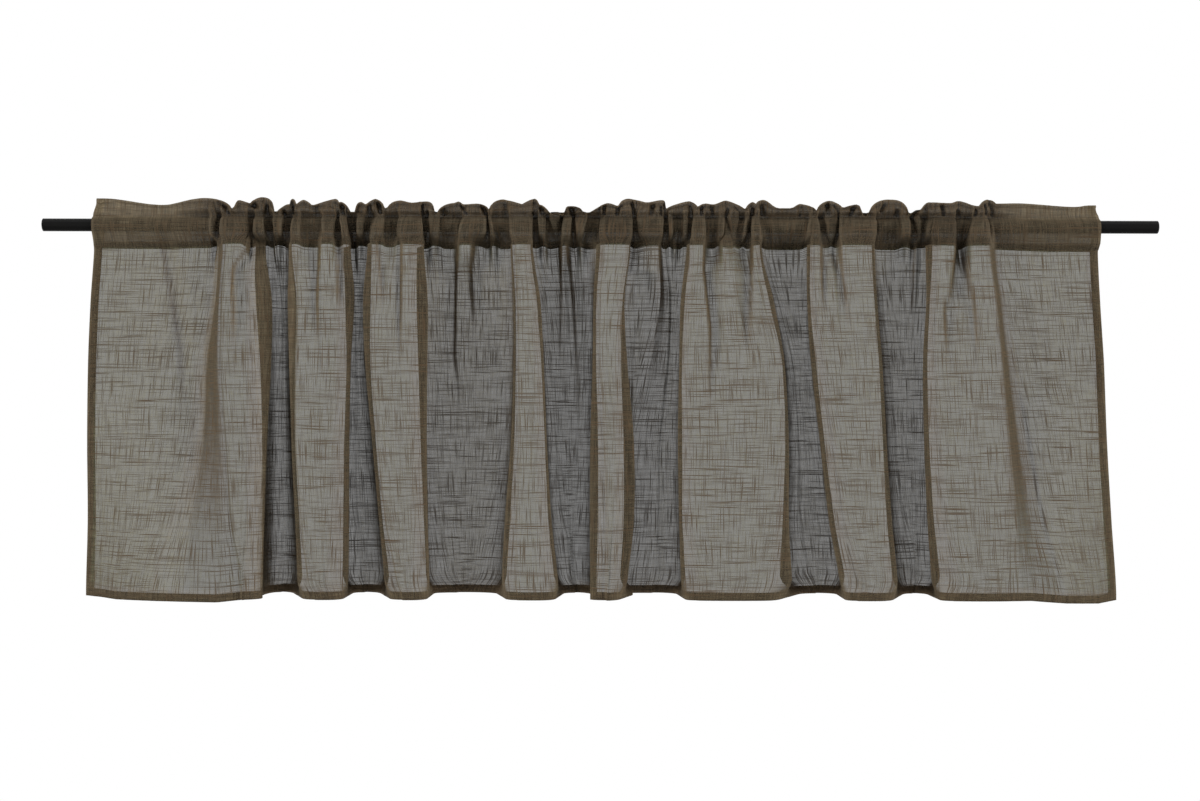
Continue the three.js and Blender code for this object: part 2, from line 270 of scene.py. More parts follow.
def ripple(x, z):
    """The cloth's own small ripples, from about -1 to 1, that wander sideways as they fall."""
    waves = [np.sin(2 * math.pi * x / length + begins + turn * z) for length, begins, turn in ripple_waves]
    return sum(waves) / 8


# The cloth is laid out as a fine grid of threads, and each row of the grid is the plan of the folds at one
# height. Panels belly out a little between their folds.
fine_step = 0.5 * mm
bulge = 4 * mm
hem_width = 10 * mm
layer_gap = 0.8 * mm
mid_height = -300 * mm
mid_corners = corners_at(np.array([mid_height]))[0]
stretch_steps = [max(8, round(math.dist(a, b) / fine_step))
                 for a, b in zip(mid_corners, mid_corners[1:])]
bend_steps = 16
panel_stretches = set(range(0, 4 * len(folds) + 1, 4))
front_turns, back_turns = [4, 4, 5, 7, 9, 14], [5, 8, 11, 14, 18, 30]


def plan_at(z):
    """The cloth's middle surface at heights z: an array of rows by threads by (x, y)."""
    corners = corners_at(z)
    front_turn, back_turn = mm * at_height(front_turns, z), mm * at_height(back_turns, z)
    turns = [back_turn if (corners[:, i, 1] > 0).any() else front_turn for i in range(corners.shape[1])]
    last = corners.shape[1] - 2
    threads = []
    for i in range(last + 1):
        a, b = corners[:, i], corners[:, i + 1]
        length = np.linalg.norm(b - a, axis=1)
        first, second = (np.minimum(turns[n], 0.45 * length) / length for n in (i, i + 1))
        side = np.sign(a[:, 1] + b[:, 1])
        belly = bulge if i in panel_stretches else 0

        def on(t):
            p = a + (b - a) * t[:, None]
            return p + np.stack([0 * t, side * belly * 4 * t * (1 - t)], -1)

        begins = first if i > 0 else 0 * first
        ends = 1 - second if i < last else 1 + 0 * second
        for t in np.linspace(0, 1, stretch_steps[i] + 1):
            threads.append(on(begins + (ends - begins) * t))
        if i < last:
            c = corners[:, i + 2]
            onward = np.linalg.norm(c - b, axis=1)
            share = np.minimum(turns[i + 1], 0.45 * onward) / onward
            leaves, joins = threads[-1], b + (c - b) * share[:, None]
            for t in np.linspace(0, 1, bend_steps + 2)[1:-1]:
                threads.append(leaves * (1 - t) ** 2 + b * 2 * t * (1 - t) + joins * t ** 2)
    plan = np.stack(threads, 1)
    z_all = z[:, None] * np.ones(plan.shape[1])
    plan[..., 1] += pleat_push(plan[..., 0], z_all) + crease_push(plan[..., 0], z_all)
    along = np.concatenate([[0], np.cumsum(np.linalg.norm(np.diff(plan[0], axis=0), axis=1))])
    plan[..., 1] += ripple_depth * ripple(along, z_all) * (1 - 0.5 * smooth_step(-z_all / (300 * mm)))
    return plan


def facing(plan):
    """Unit vectors in plan that point out of the cloth's front."""
    along = np.gradient(plan, axis=-2)
    along /= np.maximum(np.linalg.norm(along, axis=-1, keepdims=True), 1e-9)
    return np.stack([along[..., 1], -along[..., 0]], -1)


def with_height(plan, z):
    """The plan's points with their height z added."""
    return np.concatenate([plan, (z * np.ones(plan.shape[:-1]))[..., None]], -1)


# The grid's rows: how many there are from one height down to the next.
levels = [lower_seam, -60 * mm, -200 * mm, -415 * mm, hem_edge + hem_width, hem_edge]
level_rows = [9, 11, 10, 5, 3]
body_z = [np.linspace(high, low, rows + 1)[:-1]
          for high, low, rows in zip(levels, levels[1:], level_rows)]
body_z = np.concatenate(body_z + [[hem_edge]])
body_plan = plan_at(body_z)
body = with_height(body_plan, body_z[:, None])


# The hem is not quite level: at these places across, it hangs this much lower, in mm.
waver_places = [-640, -620, -600, -470, -435, 530, 570, 620, 645]
waver_drops = [0, 1, 3, 4, 0, 0, 4, 6, 3]
waver_from, waver_over = -250 * mm, 200 * mm


def with_waver(rows):
    """The rows lowered where the hem hangs lower, more and more below waver_from."""
    lower = mm * np.interp(rows[..., 0] / mm, waver_places, waver_drops)
    rows[..., 2] -= lower * smooth_step((waver_from - rows[..., 2]) / waver_over)
    return rows


body = with_waver(body)
threads = body.shape[1]
seam_x, seam_y = np.maximum.accumulate(body_plan[0, :, 0]), body_plan[0, :, 1]

turned_z = hem_edge + hem_width * np.array([0.02, 0.35, 0.7, 1.0, 0.97, 0.5, 0.06])
turned_plan = plan_at(turned_z)
turned_in_by = layer_gap * np.array([1, 1, 1, 1, 0.5, 0.5, 0.5])[:, None, None]
turned = with_waver(with_height(turned_plan - facing(turned_plan) * turned_in_by, turned_z[:, None]))

# ---- The heading's pocket ------------------------------------------------------------------------------
# The cloth's top is turned down behind and stitched twice, which makes a pocket for the rod. Gathered up on
# the rod, the pocket's front stands out in round pleats, and lies against the rod between them.

# One row for each round pleat: its edges at the lower seam, half way up and at the upper seam, and how far
# its front stands out before the rod's middle.
gathers = [
    dict(seam=(-484, -478), middle=(-486, -478), root=(-486, -478), front=15),
    dict(seam=(-471, -442), middle=(-473, -434), root=(-472, -439), front=23),
    dict(seam=(-430, -413), middle=(-431, -417), root=(-430, -419), front=25),
    dict(seam=(-406, -395), middle=(-406, -395), root=(-408, -395), front=21),
    dict(seam=(-385, -372), middle=(-385, -373), root=(-383, -373), front=21),
    dict(seam=(-347, -330), middle=(-346, -330), root=(-347, -328), front=21),
    dict(seam=(-321, -311), middle=(-322, -313), root=(-325, -316), front=21),
    dict(seam=(-303, -292), middle=(-303, -294), root=(-303, -294), front=20),
    dict(seam=(-290, -269), middle=(-286, -269), root=(-281, -269), front=23),
    dict(seam=(-253, -220), middle=(-253, -220), root=(-251, -222), front=23),
    dict(seam=(-213, -199), middle=(-212, -201), root=(-214, -201), front=18),
    dict(seam=(-178, -146), middle=(-176, -141), root=(-172, -141), front=24),
    dict(seam=(-138, -128), middle=(-138, -133), root=(-140, -136), front=18),
    dict(seam=(-111, -84), middle=(-113, -84), root=(-114, -84), front=22),
    dict(seam=(-77, -68), middle=(-77, -68), root=(-78, -68), front=20),
    dict(seam=(-56, -53), middle=(-59, -52), root=(-64, -50), front=14),
    dict(seam=(-50, -36), middle=(-48, -36), root=(-46, -35), front=22),
    dict(seam=(-31, -24), middle=(-31, -20), root=(-32, -16), front=22),
    dict(seam=(-2, 40), middle=(-2, 40), root=(0, 40), front=24, paler=0.72),
    dict(seam=(50, 77), middle=(46, 78), root=(45, 79), front=19),
    dict(seam=(84, 89), middle=(85, 90), root=(84, 90), front=17),
    dict(seam=(102, 110), middle=(103, 109), root=(103, 109), front=15),
    dict(seam=(111, 131), middle=(113, 131), root=(115, 130), front=21),
    dict(seam=(144, 150), middle=(146, 154), root=(147, 155), front=17),
    dict(seam=(165, 168), middle=(162, 170), root=(157, 173), front=13),
    dict(seam=(175, 180), middle=(178, 183), root=(180, 186), front=16),
    dict(seam=(187, 203), middle=(187, 201), root=(188, 198), front=22),
    dict(seam=(255, 274), middle=(258, 273), root=(261, 271), front=19),
    dict(seam=(285, 290), middle=(281, 294), root=(279, 296), front=16),
    dict(seam=(296, 342), middle=(296, 343), root=(297, 343), front=23),
    dict(seam=(375, 386), middle=(375, 385), root=(375, 385), front=20),
    dict(seam=(396, 401), middle=(393, 399), root=(390, 398), front=14),
    dict(seam=(404, 442), middle=(404, 442), root=(408, 442), front=22, paler=0.7),
    dict(seam=(453, 486), middle=(458, 484), root=(463, 482), front=22),
]
# The pocket keeps clear of the rod, and its round pleats are drawn in to a neck, past a half circle.
rod_room = rod_radius + 2.3 * mm
round_past = math.radians(112)
tightest_round = 3 * mm
shallowest_pleat = 0.5 * mm
root_front, root_back = 10 * mm, -4 * mm
pocket_t = np.array([0.06, 0.13, 0.21, 0.3, 0.4, 0.5, 0.6, 0.69, 0.77, 0.84, 0.9, 0.95, 0.98])


def pleat_edges(t):
    """The pleats' left and right edges at a share t of the way from the lower to the upper seam."""
    given = np.array([[gather["seam"], gather["middle"], gather["root"]] for gather in gathers]) * mm
    lower = given[:, 0] + (given[:, 1] - given[:, 0]) * smooth_step(t * 2)
    return lower + (given[:, 2] - given[:, 1]) * smooth_step(t * 2 - 1)


def round_pleat(share, half, depth):
    """A round pleat's section, `depth` deep with a narrower neck. share runs -1..1 along its cloth."""
    radius = np.minimum(half, np.maximum(depth, tightest_round))
    flat = half - radius
    along = share * (flat + radius * round_past)
    angle = np.clip((np.abs(along) - flat) / radius, 0, None)
    out = np.sign(along) * np.where(np.abs(along) < flat, np.abs(along), flat + radius * np.sin(angle))
    up = (np.cos(angle) - math.cos(round_past)) / (1 - math.cos(round_past))
    return out, up * depth


def pocket_section(edges, fronts, rest, side):
    """x and y of every thread at one height of a pocket layer. rest is where it lies between pleats."""
    seam_edges = pleat_edges(0) if side < 0 else back_edges(0)
    flat_seam = seam_edges.reshape(-1)
    place = np.searchsorted(flat_seam, seam_x)
    number = np.clip((place - 1) // 2, 0, len(edges) - 1)
    inside = place % 2 == 1
    left, right = edges[number, 0], edges[number, 1]
    seam_left, seam_right = seam_edges[number, 0], seam_edges[number, 1]
    share = np.clip(2 * (seam_x - seam_left) / (seam_right - seam_left) - 1, -1, 1)
    depth = np.maximum(fronts[number] - rest, shallowest_pleat)
    out, up = round_pleat(share, (right - left) / 2, depth)
    pleat_x = (left + right) / 2 + out
    depths = np.maximum(fronts - rest, shallowest_pleat)
    neck = round_pleat(np.ones(len(edges)), (edges[:, 1] - edges[:, 0]) / 2, depths)[0]
    middle = edges.mean(1)
    moved_from = np.concatenate([[-1], flat_seam, [1]])
    moved_to = np.concatenate([[-1], np.stack([middle - neck, middle + neck], -1).reshape(-1), [1]])
    x = np.where(inside, pleat_x, np.interp(seam_x, moved_from, moved_to))
    y = side * (rest + np.where(inside, up, 0))
    return x, y


def back_edges(t):
    """The back layer's pleats stand between the front layer's."""
    edges = pleat_edges(t)
    between = np.stack([edges[:-1, 1], edges[1:, 0]], -1)
    shy = np.minimum(0.1 * (between[:, 1] - between[:, 0]), 2 * mm)
    return between + np.stack([shy, -shy], -1)


front_depths = mm * np.array([gather["front"] for gather in gathers])
back_widths = back_edges(0.5)[:, 1] - back_edges(0.5)[:, 0]
back_depths = np.clip(back_widths * 0.5 + 10 * mm, 14 * mm, 24 * mm)
root_x, root_y = pocket_section(pleat_edges(1), root_front + 0 * front_depths, -root_back, -1)
# The cloth lies flat at both ends, beyond the gathers.
flat_ends = smooth_step(np.interp(seam_x, mm * np.array([-540, -488, 488, 540]), [1, 0, 0, 1]))
root_y = root_y - (root_back + 2 * mm) * flat_ends
thread_run = np.concatenate([[0], np.cumsum(np.linalg.norm(np.diff(body_plan[0], axis=0), axis=1))])


def relaxed(values, reach):
    """The values evened out over neighbouring threads."""
    weights = np.exp(-0.5 * (np.arange(-3 * reach, 3 * reach + 1) / reach) ** 2)
    return np.convolve(np.pad(values, 3 * reach, "edge"), weights / weights.sum(), "valid")


# The seam is drawn up a little under each round pleat.
in_gather = np.searchsorted(pleat_edges(0).reshape(-1), seam_x)
tied = relaxed((in_gather % 2).astype(float), 5)
seam_lift = mm * (3.3 * tied - 1 - np.interp(seam_x / mm, [-560, -500, 500, 560], [1, 0, 0, 2]))


end_width = 80 * mm


def end_shift(z):
    """How far the heading's two ends stray from a straight line at height z."""
    at_left = np.interp(z / mm, [-27, -18, 0, 8, 20, 33], [0, 0.5, 1, 0.5, 1.2, 2.2]) * mm
    at_right = np.interp(z / mm, [-27, -18, 8, 20, 33], [0, 2.5, 4, 2.5, 3]) * mm
    near_left = smooth_step(-seam_x / end_width - 6.9)
    near_right = smooth_step(seam_x / end_width - 6.77)
    return at_left * near_left + at_right * near_right


def pocket_layer(side):
    """The pocket's rows from the lower seam to the upper one: side -1 is its front layer, 1 its back."""
    edges_at = pleat_edges if side < 0 else back_edges
    fronts = front_depths if side < 0 else back_depths
    rows = []
    for t in pocket_t:
        z = lower_seam + (upper_seam - lower_seam) * t
        rest = rod_room if z < 0 else math.sqrt(max(rod_room ** 2 - z ** 2, 0))
        shoulder = math.sqrt(1 - max(0, (t - 0.4) / 0.63) ** 2)
        x, y = pocket_section(edges_at(t), root_front + (fronts - root_front) * shoulder, rest, side)
        y = y + side * ripple_depth * ripple(thread_run * 1.3, 2 * z + side)
        leaves = tied * smooth_step(t / 0.45) + (1 - tied) * min(1, t / 0.55)
        arrives = smooth_step((t - 0.86) / 0.14)
        x, y = seam_x + (x - seam_x) * leaves, seam_y + (y - seam_y) * leaves
        x, y = x + (root_x - x) * arrives, y + (root_y - y) * arrives
        clear = math.sqrt(max(rod_room ** 2 - z ** 2, 0)) * side
        y = np.where(side * (y - clear) < 0, clear, y) if clear else y
        lifted = seam_lift * (1 - smooth_step(t / 0.5))
        x = x + end_shift(z)
        rows.append(np.stack([x, y + side * layer_gap / 2, z + lifted], -1))
    return np.array(rows)


front_pocket, back_pocket = pocket_layer(-1), pocket_layer(1)
body[..., 2] += seam_lift * (1 - smooth_step((lower_seam - body_z[:, None]) / (25 * mm)))
turned_in = np.stack([back_pocket[2], back_pocket[1], back_pocket[0]]) - [0, layer_gap, 0]
turned_in = np.concatenate([turned_in, body[:1] + [0, 0, -0.5 * mm]])

# ---- The ruffle ----------------------------------------------------------------------------------------
# Above the upper seam the folded cloth stands up 24 mm as a ruffle. Its pleats relax into broad frills,
# and where two frills meet the edge curls over forward into a small lip.

# One row for each frill: where its edge starts, peaks and ends, the heights of the peak and of the dip
# after it, and how round its two flanks are (1 straight, 2 an arch, 0 a soft slope).
frills = [
    dict(starts=-628, peak=-623, ends=-546, top=33, dip=25, flanks=(1, 0)),
    dict(starts=-546, peak=-493, ends=-455, top=33, dip=14, flanks=(0, 2)),
    dict(starts=-454, peak=-448, ends=-435, top=30, dip=26, flanks=(3, 1)),
    dict(starts=-435, peak=-421, ends=-404, top=34, dip=9, flanks=(1.5, 2.5)),
    dict(starts=-404, peak=-388, ends=-386, top=25, dip=25, flanks=(1.3, 1)),
    dict(starts=-386, peak=-383, ends=-378, top=32, dip=24, flanks=(3, 2)),
    dict(starts=-378, peak=-369, ends=-358, top=31, dip=23, flanks=(1.3, 1.3)),
    dict(starts=-358, peak=-330, ends=-325, top=32, dip=27, flanks=(1.1, 2)),
    dict(starts=-325, peak=-322, ends=-310, top=28, dip=14, flanks=(2, 1.5)),
    dict(starts=-304, peak=-297, ends=-292, top=28, dip=24, flanks=(3, 1.5)),
    dict(starts=-292, peak=-281, ends=-268, top=32, dip=20, flanks=(1.2, 1.8)),
    dict(starts=-264, peak=-249, ends=-234, top=30, dip=27, flanks=(2, 0)),
    dict(starts=-234, peak=-218, ends=-205, top=29, dip=7, flanks=(0, 3)),
    dict(starts=-204, peak=-182, ends=-180, top=27, dip=27, flanks=(2, 1)),
    dict(starts=-180, peak=-177, ends=-171, top=29, dip=25, flanks=(2, 1.5)),
    dict(starts=-171, peak=-153, ends=-138, top=26, dip=17, flanks=(0, 1.8)),
    dict(starts=-138, peak=-121, ends=-97, top=32, dip=25, flanks=(2, 1.1)),
    dict(starts=-97, peak=-82, ends=-76, top=33, dip=24, flanks=(1.2, 1.8)),
    dict(starts=-76, peak=-74, ends=-61, top=25, dip=11, flanks=(1.5, 1.3)),
    dict(starts=-61, peak=-54, ends=-45, top=14, dip=8, flanks=(1.3, 1.3)),
    dict(starts=-45, peak=-36, ends=-21, top=23, dip=13, flanks=(4, 2.2)),
    dict(starts=-21, peak=10, ends=22, top=27, dip=21, flanks=(0, 1.5)),
    dict(starts=22, peak=35, ends=56, top=33, dip=28, flanks=(2, 1.2)),
    dict(starts=56, peak=76, ends=81, top=31, dip=20, flanks=(0, 4)),
    dict(starts=82, peak=110, ends=121, top=30, dip=21, flanks=(1.3, 1.6)),
    dict(starts=121, peak=131, ends=140, top=27, dip=26, flanks=(1.8, 0)),
    dict(starts=140, peak=156, ends=178, top=31, dip=20, flanks=(0, 1.3)),
    dict(starts=180, peak=189, ends=193, top=29, dip=26, flanks=(1.5, 1.5)),
    dict(starts=193, peak=203, ends=221, top=32, dip=21, flanks=(1.8, 0)),
    dict(starts=236, peak=248, ends=267, top=27, dip=18, flanks=(0, 1.5)),
    dict(starts=268, peak=284, ends=300, top=31, dip=21, flanks=(1.6, 1.6)),
    dict(starts=300, peak=317, ends=324, top=26, dip=9, flanks=(1.2, 3)),
    dict(starts=331, peak=358, ends=382, top=33, dip=10, flanks=(2, 2.8)),
    dict(starts=383, peak=392, ends=397, top=19, dip=19, flanks=(1.5, 1)),
    dict(starts=397, peak=406, ends=434, top=29, dip=28, flanks=(1.2, 0)),
    dict(starts=434, peak=445, ends=470, top=31, dip=24, flanks=(0, 0)),
    dict(starts=470, peak=481, ends=491, top=33, dip=28, flanks=(1.5, 2)),
    dict(starts=491, peak=524, ends=592, top=29, dip=25, flanks=(0, 0)),
    dict(starts=592, peak=606, ends=650, top=27, dip=27, flanks=(0, 1)),
]
# The hollows between the frills: where each begins and ends (across, height), how wide and how deep it is.
hollows = [
    (-469, 27, -462, 14, 4, 6), (-471, 11, -466, 4, 2, 5), (-436, 26, -426, 21, 4, 7),
    (-415, 23, -415, 7, 3, 8), (-395, 15, -392, 3, 4, 8), (-382, 23, -381, 10, 2, 6),
    (-355, 21, -350, 12, 5, 4), (-335, 22, -332, 20, 2, 4), (-321, 23, -320, 10, 4, 9),
    (-308, 10, -304, 4, 4, 6), (-288, 22, -285, 4, 4, 7), (-276, 26, -274, 16, 4, 9),
    (-222, 24, -222, 10, 2, 6), (-215, 16, -214, 4, 2, 8), (-198, 19, -193, 8, 5, 7),
    (-171, 23, -166, 14, 4, 6), (-146, 23, -144, 15, 4, 8), (-118, 24, -117, 13, 4, 3),
    (-98, 16, -97, 9, 5, 3), (-73, 21, -72, 15, 4, 8), (-85, 15, -83, 8, 2, 6), (-60, 7, -42, 4, 2, 6),
    (-36, 22, -36, 14, 4, 9), (-30, 12, -29, 4, 2, 6), (-21, 10, -19, 5, 2, 6), (-10, 9, -4, 2, 4, 5),
    (5, 25, 5, 13, 3, 7), (22, 22, 20, 9, 4, 7), (39, 27, 41, 16, 3, 6), (65, 23, 62, 12, 5, 7),
    (75, 23, 75, 13, 2, 6), (88, 14, 91, 7, 2, 5), (112, 22, 113, 12, 3, 4), (125, 23, 125, 7, 3, 7),
    (138, 24, 141, 8, 3, 6), (158, 20, 159, 11, 3, 4), (190, 20, 189, 6, 3, 9), (200, 23, 202, 11, 4, 6),
    (249, 14, 253, 2, 2, 6), (283, 26, 284, 15, 4, 7), (314, 22, 311, 12, 4, 7), (354, 26, 349, 19, 3, 5),
    (370, 18, 372, 3, 4, 7), (390, 13, 400, 10, 3, 7), (425, 24, 427, 10, 4, 7), (444, 18, 447, 10, 3, 6),
    (467, 18, 467, 9, 3, 8), (478, 26, 479, 14, 2, 5), (487, 23, 489, 5, 3, 5),
]
ruffle_height = cloth_high.z - upper_seam
ruffle_steps = 12
first_height, first_dip = 33 * mm, 29 * mm
# Where the edge is low, the cloth is at most most_slack shorter, and curls over forward by up to most_curl.
most_slack = 7 * mm
most_curl = 2.6
edge_puff = 1.5 * mm
ruffle_fullness = 6 * mm


def flank(share, roundness):
    """How high a frill's edge stands at a share of the way from a dip to its peak."""
    share = np.clip(share, 0, 1)
    if roundness == 0:
        return smooth_step(share)
    return (1 - (1 - share) ** roundness) ** (1 / roundness)


def edge_height(x):
    """How high the ruffle's edge stands at places x."""
    height = np.full(x.shape, first_height)
    dip = first_dip
    for frill in frills:
        starts, peak, ends, top = (mm * frill[name] for name in ("starts", "peak", "ends", "top"))
        rising, falling = frill["flanks"]
        up = dip + (top - dip) * flank((x - starts) / (peak - starts), rising)
        next_dip = mm * frill["dip"]
        down = next_dip + (top - next_dip) * flank((ends - x) / (ends - peak), falling)
        height = np.where(x >= starts, np.where(x < peak, up, down), height)
        dip = next_dip
    return height


edge_x = np.maximum.accumulate(relaxed(root_x, 14))
lost = relaxed(cloth_high.z - edge_height(edge_x), 2)
shorter = np.minimum(lost * 0.75, most_slack)
shorter += (lost - shorter) * flat_ends
bend = smooth_step((np.arange(ruffle_steps) + 0.5) / ruffle_steps / 0.45)
angles = np.linspace(0, most_curl, 60)
left_standing = np.cos(angles[:, None] * bend).mean(1)
standing = (ruffle_height - lost) / (ruffle_height - shorter)
curl_angle = np.interp(standing, left_standing[::-1], angles[::-1])
edge_y = relaxed(root_y, 22) * 0.7


def hollow_push(x, z):
    """How far the hollows draw the ruffle back."""
    moved = 0 * x
    for hollow in hollows:
        from_x, from_z, to_x, to_z, wide, deep = mm * np.array(hollow)
        run_x, run_z = to_x - from_x, to_z - from_z
        share = np.clip(((x - from_x) * run_x + (z - from_z) * run_z) / (run_x ** 2 + run_z ** 2), 0, 1)
        away = np.hypot(x - from_x - share * run_x, z - from_z - share * run_z)
        moved = np.maximum(moved, deep * (1 - smooth_step((away / wide - 0.25) / 0.9)))
    return moved


def ruffle_layer(side):
    """The ruffle's rows from the upper seam to its edge: side -1 is its front layer, 1 its back."""
    rows = []
    rise = (ruffle_height - shorter) / ruffle_steps
    y, z = 0 * edge_y, 0 * edge_y
    for k in range(ruffle_steps + 1):
        t = k / ruffle_steps
        if k:
            lean = curl_angle * bend[k - 1]
            y, z = y - np.sin(lean) * rise, z + np.cos(lean) * rise
        x = root_x + (edge_x - root_x) * smooth_step(t * 1.3) + end_shift(upper_seam + t * ruffle_height)
        stands = root_y + (edge_y - root_y) * smooth_step(t)
        puff = edge_puff * smooth_step((t - 0.7) / 0.2) * (1 - 0.6 * smooth_step((t - 0.9) / 0.1))
        puff = layer_gap * 0.5 + puff
        puff = puff - side * ripple_depth * ripple(thread_run * 1.3, 3 * z) * smooth_step(t * 2)
        dents = hollow_push(x, upper_seam + z)
        dents = dents * smooth_step(t / 0.15) * (1 - smooth_step((t - 0.72) / 0.22))
        full = ruffle_fullness * (1 - flat_ends) * smooth_step(t / 0.3) * (1 - smooth_step((t - 0.3) / 0.6))
        dents = dents - full
        rows.append(np.stack([x, y + stands + dents + side * puff, upper_seam + z], -1))
    return np.array(rows)


front_ruffle, back_ruffle = ruffle_layer(-1), ruffle_layer(1)

cloth_grid = np.concatenate([
    turned_in, back_pocket, back_ruffle, front_ruffle[::-1], front_pocket[::-1], body, turned])

# The side hems are turned in behind as well: six more threads at each side.
inset = hem_width * np.array([0.02, 0.5, 1.0, 0.97, 0.5, 0.05])
turned_by = layer_gap * np.array([1, 1, 1, 0.5, 0.5, 0.5])
left = np.stack([cloth_grid[:, 0] + [w, g, 0] for w, g in zip(inset, turned_by)], 1)[:, ::-1]
right = np.stack([cloth_grid[:, -1] + [-w, g, 0] for w, g in zip(inset, turned_by)], 1)
folded = np.array([0, 0.5, 1, 1.03, 1.5, 1.95]) * hem_width

# Each thread's place in the cut cloth, in metres: across it and down it.
across = np.linalg.norm(np.diff(body, axis=1), axis=2).mean(0)
across = np.concatenate([[0], np.cumsum(across)])
down = np.linalg.norm(np.diff(cloth_grid, axis=0), axis=2).mean(1)
down = np.concatenate([[0], np.cumsum(down)])
down -= down[len(cloth_grid) - len(body) - len(turned)]

# Only the threads that the shape needs are kept: more where the cloth turns, fewer where it is flat.
thread_count = 968
width_for_thread, turn_for_thread = 3.2 * mm, 0.16
between = np.diff(cloth_grid, axis=1)
lengths = np.linalg.norm(between, axis=2)
headings = between / np.maximum(lengths, 1e-9)[..., None]
turns = np.zeros_like(lengths)
turns[:, 1:] = np.arccos(np.clip((headings[:, 1:] * headings[:, :-1]).sum(-1), -1, 1))
turns[lengths < 1e-5] = 0
need = lengths.max(0) / width_for_thread + relaxed(turns.mean(0), 3) / turn_for_thread
need = np.concatenate([[0], np.cumsum(need)])
kept = np.unique(np.searchsorted(need, np.linspace(0, need[-1], thread_count)).clip(0, threads - 1))

# ---- The voile's tone and weave, with painted light and shade ------------------------------------------
# The voile is a sheer plain weave in taupe brown, with thicker slubs among its threads both ways. Single
# cloth is paler and greyer. It is a deeper brown in the walls of the folds, and in the hems and in the
# heading, where it lies doubled. Where it lies back it is painted paler and its weave is closed up: painted
# light and shade in the recesses.

# Each tone multiplies the red, green and blue of the threads. The flat panels at both ends are painted
# paler: painted light.
single_tone = np.array([0.98, 1.11, 1.03])
behind_tone = np.array([1.72, 1.78, 1.45])
deep_tone = np.array([1.0, 0.975, 0.93])
creased_tone = np.array([1.05, 0.96, 0.84])
hem_tone = np.array([1.13, 1.07, 0.98])
# hem_behind_tone paints light onto the hems that lie back.
hem_behind_tone = np.array([1.65, 1.45, 1.33])
# Painted shade: the gathered pocket is painted darker.
pleated_shade_tone = np.array([0.88, 0.86, 0.85])
ruffle_tone = np.array([1.02, 0.95, 0.92])
# Painted light: the flat panels at both ends are painted paler.
first_panel, last_panel = 1.35, 1.2
tone_reach = 6
behind_from = 18 * mm
fades_from, fades_over = 300 * mm, 110 * mm

# Each fold has three stretches of cloth in its wall, and a panel after it. Its paler and panel values
# paint light and shade onto them.
paler = [first_panel]
for fold in folds:
    paler += [fold.get("paler", 1)] * 3 + [fold.get("panel", 1)]
paler[-1] = last_panel
in_wall, thread_paler = [], []
for i, steps in enumerate(stretch_steps):
    in_wall += [float(i not in panel_stretches)] * (steps + 1) + [1.0] * bend_steps
    thread_paler += [paler[i]] * (steps + 1 + bend_steps)
in_wall = np.array(in_wall[:threads])
thread_paler = relaxed(np.array(thread_paler[:threads], float), tone_reach)[:, None]

# The walls of the first and the last fold are soft, and fade out before they reach the hem.
soft = np.isin(np.cumsum(np.diff(in_wall, prepend=0) > 0), [1, len(folds)])
fading = 1 - soft * smooth_step((-body_z[:, None] - fades_from) / fades_over)
wall_share = (relaxed(in_wall, tone_reach) * fading)[..., None]
# Panels that lie back are painted paler with behind_tone: painted light in the recesses.
behind = smooth_step(body_plan[..., 1:] / behind_from - 0.1)
panel_tone = (single_tone + (behind_tone - single_tone) * behind) * thread_paler
body_tone = panel_tone + (deep_tone * thread_paler - panel_tone) * wall_share
# Creases are painted browner, and paler where they lie back: painted light and shade in the creases.
creased = crease_share(body_plan[..., 0], body_z[:, None] * np.ones(threads))[..., None]
body_tone += (creased_tone * (1 + 0.6 * behind) - body_tone) * creased
# Where the hem lies back it is painted paler: painted light in the recesses.
in_hem = body_z < hem_edge + 1.1 * hem_width
body_tone[in_hem] = (hem_tone + (hem_behind_tone - hem_tone) * behind)[in_hem]
turned_tone = np.broadcast_to(body_tone[-1], turned.shape)

# The narrow gaps between round pleats are painted dark, as painted shade, and the wide ones painted a
# little paler than the pleats, as painted light. The pocket as a whole is painted darker too.
gather_paler = np.array([gather.get("paler", 1) for gather in gathers])
gather_number = ((in_gather - 1) // 2).clip(0, len(gathers) - 1)
gap_width = np.diff(pleat_edges(0).reshape(-1), prepend=-1, append=1)[in_gather]
gap_shade_and_light = np.interp(gap_width / mm, [6, 16], [0.5, 1.15])
pleat_paler = np.where(in_gather % 2, gather_paler[gather_number], gap_shade_and_light)
pleat_paler = relaxed(pleat_paler, 5)[:, None]

# At its flat ends the heading is painted paler where no rod lies behind it, darker over the rod, and paler
# at the left end than the right: painted light and shade. Heights in mm, and how pale there.
end_heights = [-27, -21, -18, -10, -7.5, 7, 9.5, 14, 33]
end_light_and_shade = [0.9, 0.96, 1.5, 1.5, 0.9, 0.92, 1.5, 1.8, 1.95]
flat = flat_ends[:, None]


def heading_tone_at(z):
    """The heading's tone at height z: painted shade along its upper seam, painted light at its edge."""
    up = smooth_step((z - upper_seam) / (5 * mm) + 0.5)
    # Painted shade in the crevice along the upper seam.
    seam = 1 - 0.1 * (1 - smooth_step(abs(z - upper_seam + 2 * mm) / (4 * mm)))
    # A painted highlight on the ruffle's top edge, and painted shade in a band just below it.
    rim = 1 + 0.9 * smooth_step((z - cloth_high.z + 5 * mm) / (4.5 * mm))
    rim = rim - 0.2 * (1 - smooth_step(abs(z - cloth_high.z + 7 * mm) / (4 * mm)))
    pleated = (pleated_shade_tone * pleat_paler * (1 - up) + ruffle_tone * up) * seam * rim
    # Painted light and shade at the heading's flat ends, the left end painted paler than the right.
    at_ends = np.interp(z / mm, end_heights, end_light_and_shade) * np.where(seam_x < 0, 1.12, 1.02)[:, None]
    return pleated * (1 - flat) + deep_tone * at_ends * flat


